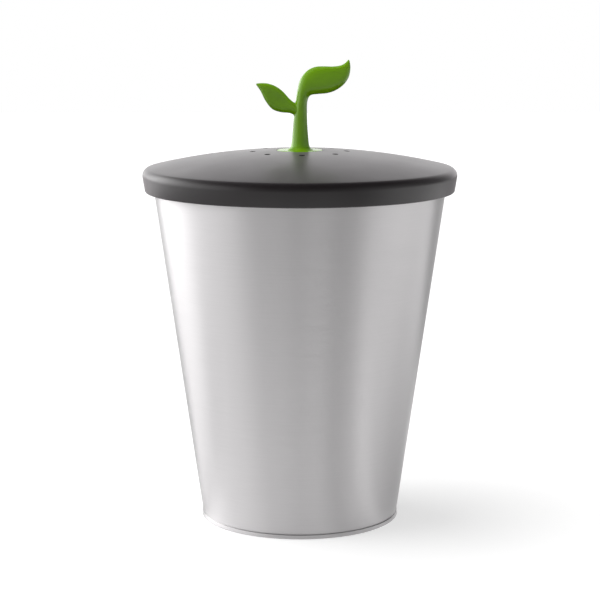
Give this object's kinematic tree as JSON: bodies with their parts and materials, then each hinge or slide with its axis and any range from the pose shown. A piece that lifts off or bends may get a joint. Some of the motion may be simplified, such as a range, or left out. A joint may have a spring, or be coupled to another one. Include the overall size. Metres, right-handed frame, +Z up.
{
  "type": "compost caddy with lift-off lid",
  "caption": "Tapered steel countertop compost caddy with a lift-out bucket, a domed vented lid, a seedling-shaped grip and a twist-off charcoal filter.",
  "frame": {"origin": "centre of the base ring, on the surface it stands on", "axes": "+Z up along the caddy's axis, -Y to the front, the grip's leaves spread along X with the large leaf to +X"},
  "size_m": [0.2104, 0.2104, 0.3098],
  "materials": {
    "steel": "brushed round the girth",
    "lid_plastic": "satin charcoal",
    "inner_plastic": "matt",
    "seal_rubber": "smooth",
    "grip_plastic": "soft satin",
    "insert_brass": "machined",
    "screw_steel": "zinc plated",
    "charcoal_felt": "charcoal-filled felt"
  },
  "bodies": {
    "crock": {"body_shell": "steel", "base_pan": "steel"},
    "bucket": {"inner_bucket": "inner_plastic"},
    "bail": {"bail_handle": "inner_plastic"},
    "lid": {"lid_shell": "lid_plastic", "lid_liner": "inner_plastic", "lid_seal": "seal_rubber", "seedling_grip": "grip_plastic", "grip_insert": "insert_brass", "grip_screw": "screw_steel", "grip_washer": "screw_steel"},
    "filters": {"filter_pad_upper": "charcoal_felt", "filter_pad_lower": "charcoal_felt"},
    "cap": {"filter_cap": "inner_plastic"}
  },
  "joints": [
    {"name": "bucket_lift", "type": "slide", "parent": "crock", "child": "bucket", "axis": [0, 0, 1], "range_m": [0, 0.25]},
    {"name": "lid_lift", "type": "slide", "parent": "bucket", "child": "lid", "axis": [0, 0, 1], "range_m": [0, 0.3]},
    {"name": "bail_swing", "type": "hinge", "parent": "bucket", "child": "bail", "pos_m": [0, 0, 0.2265], "axis": [1, 0, 0], "range_deg": [0, 180]},
    {"name": "filter_drop", "type": "slide", "parent": "lid", "child": "filters", "axis": [0, 0, -1], "range_m": [0, 0.009]},
    {"name": "cap_turn", "type": "hinge", "parent": "filters", "child": "cap", "pos_m": [0, 0, 0.2236], "axis": [0, 0, -1], "range_deg": [0, 60]}
  ],
  "couplings": [
    {"joint": "bail_swing", "follows": "lid_lift", "rad_per_m": 10.472},
    {"joint": "filter_drop", "follows": "cap_turn", "m_per_rad": 0.008594}
  ]
}
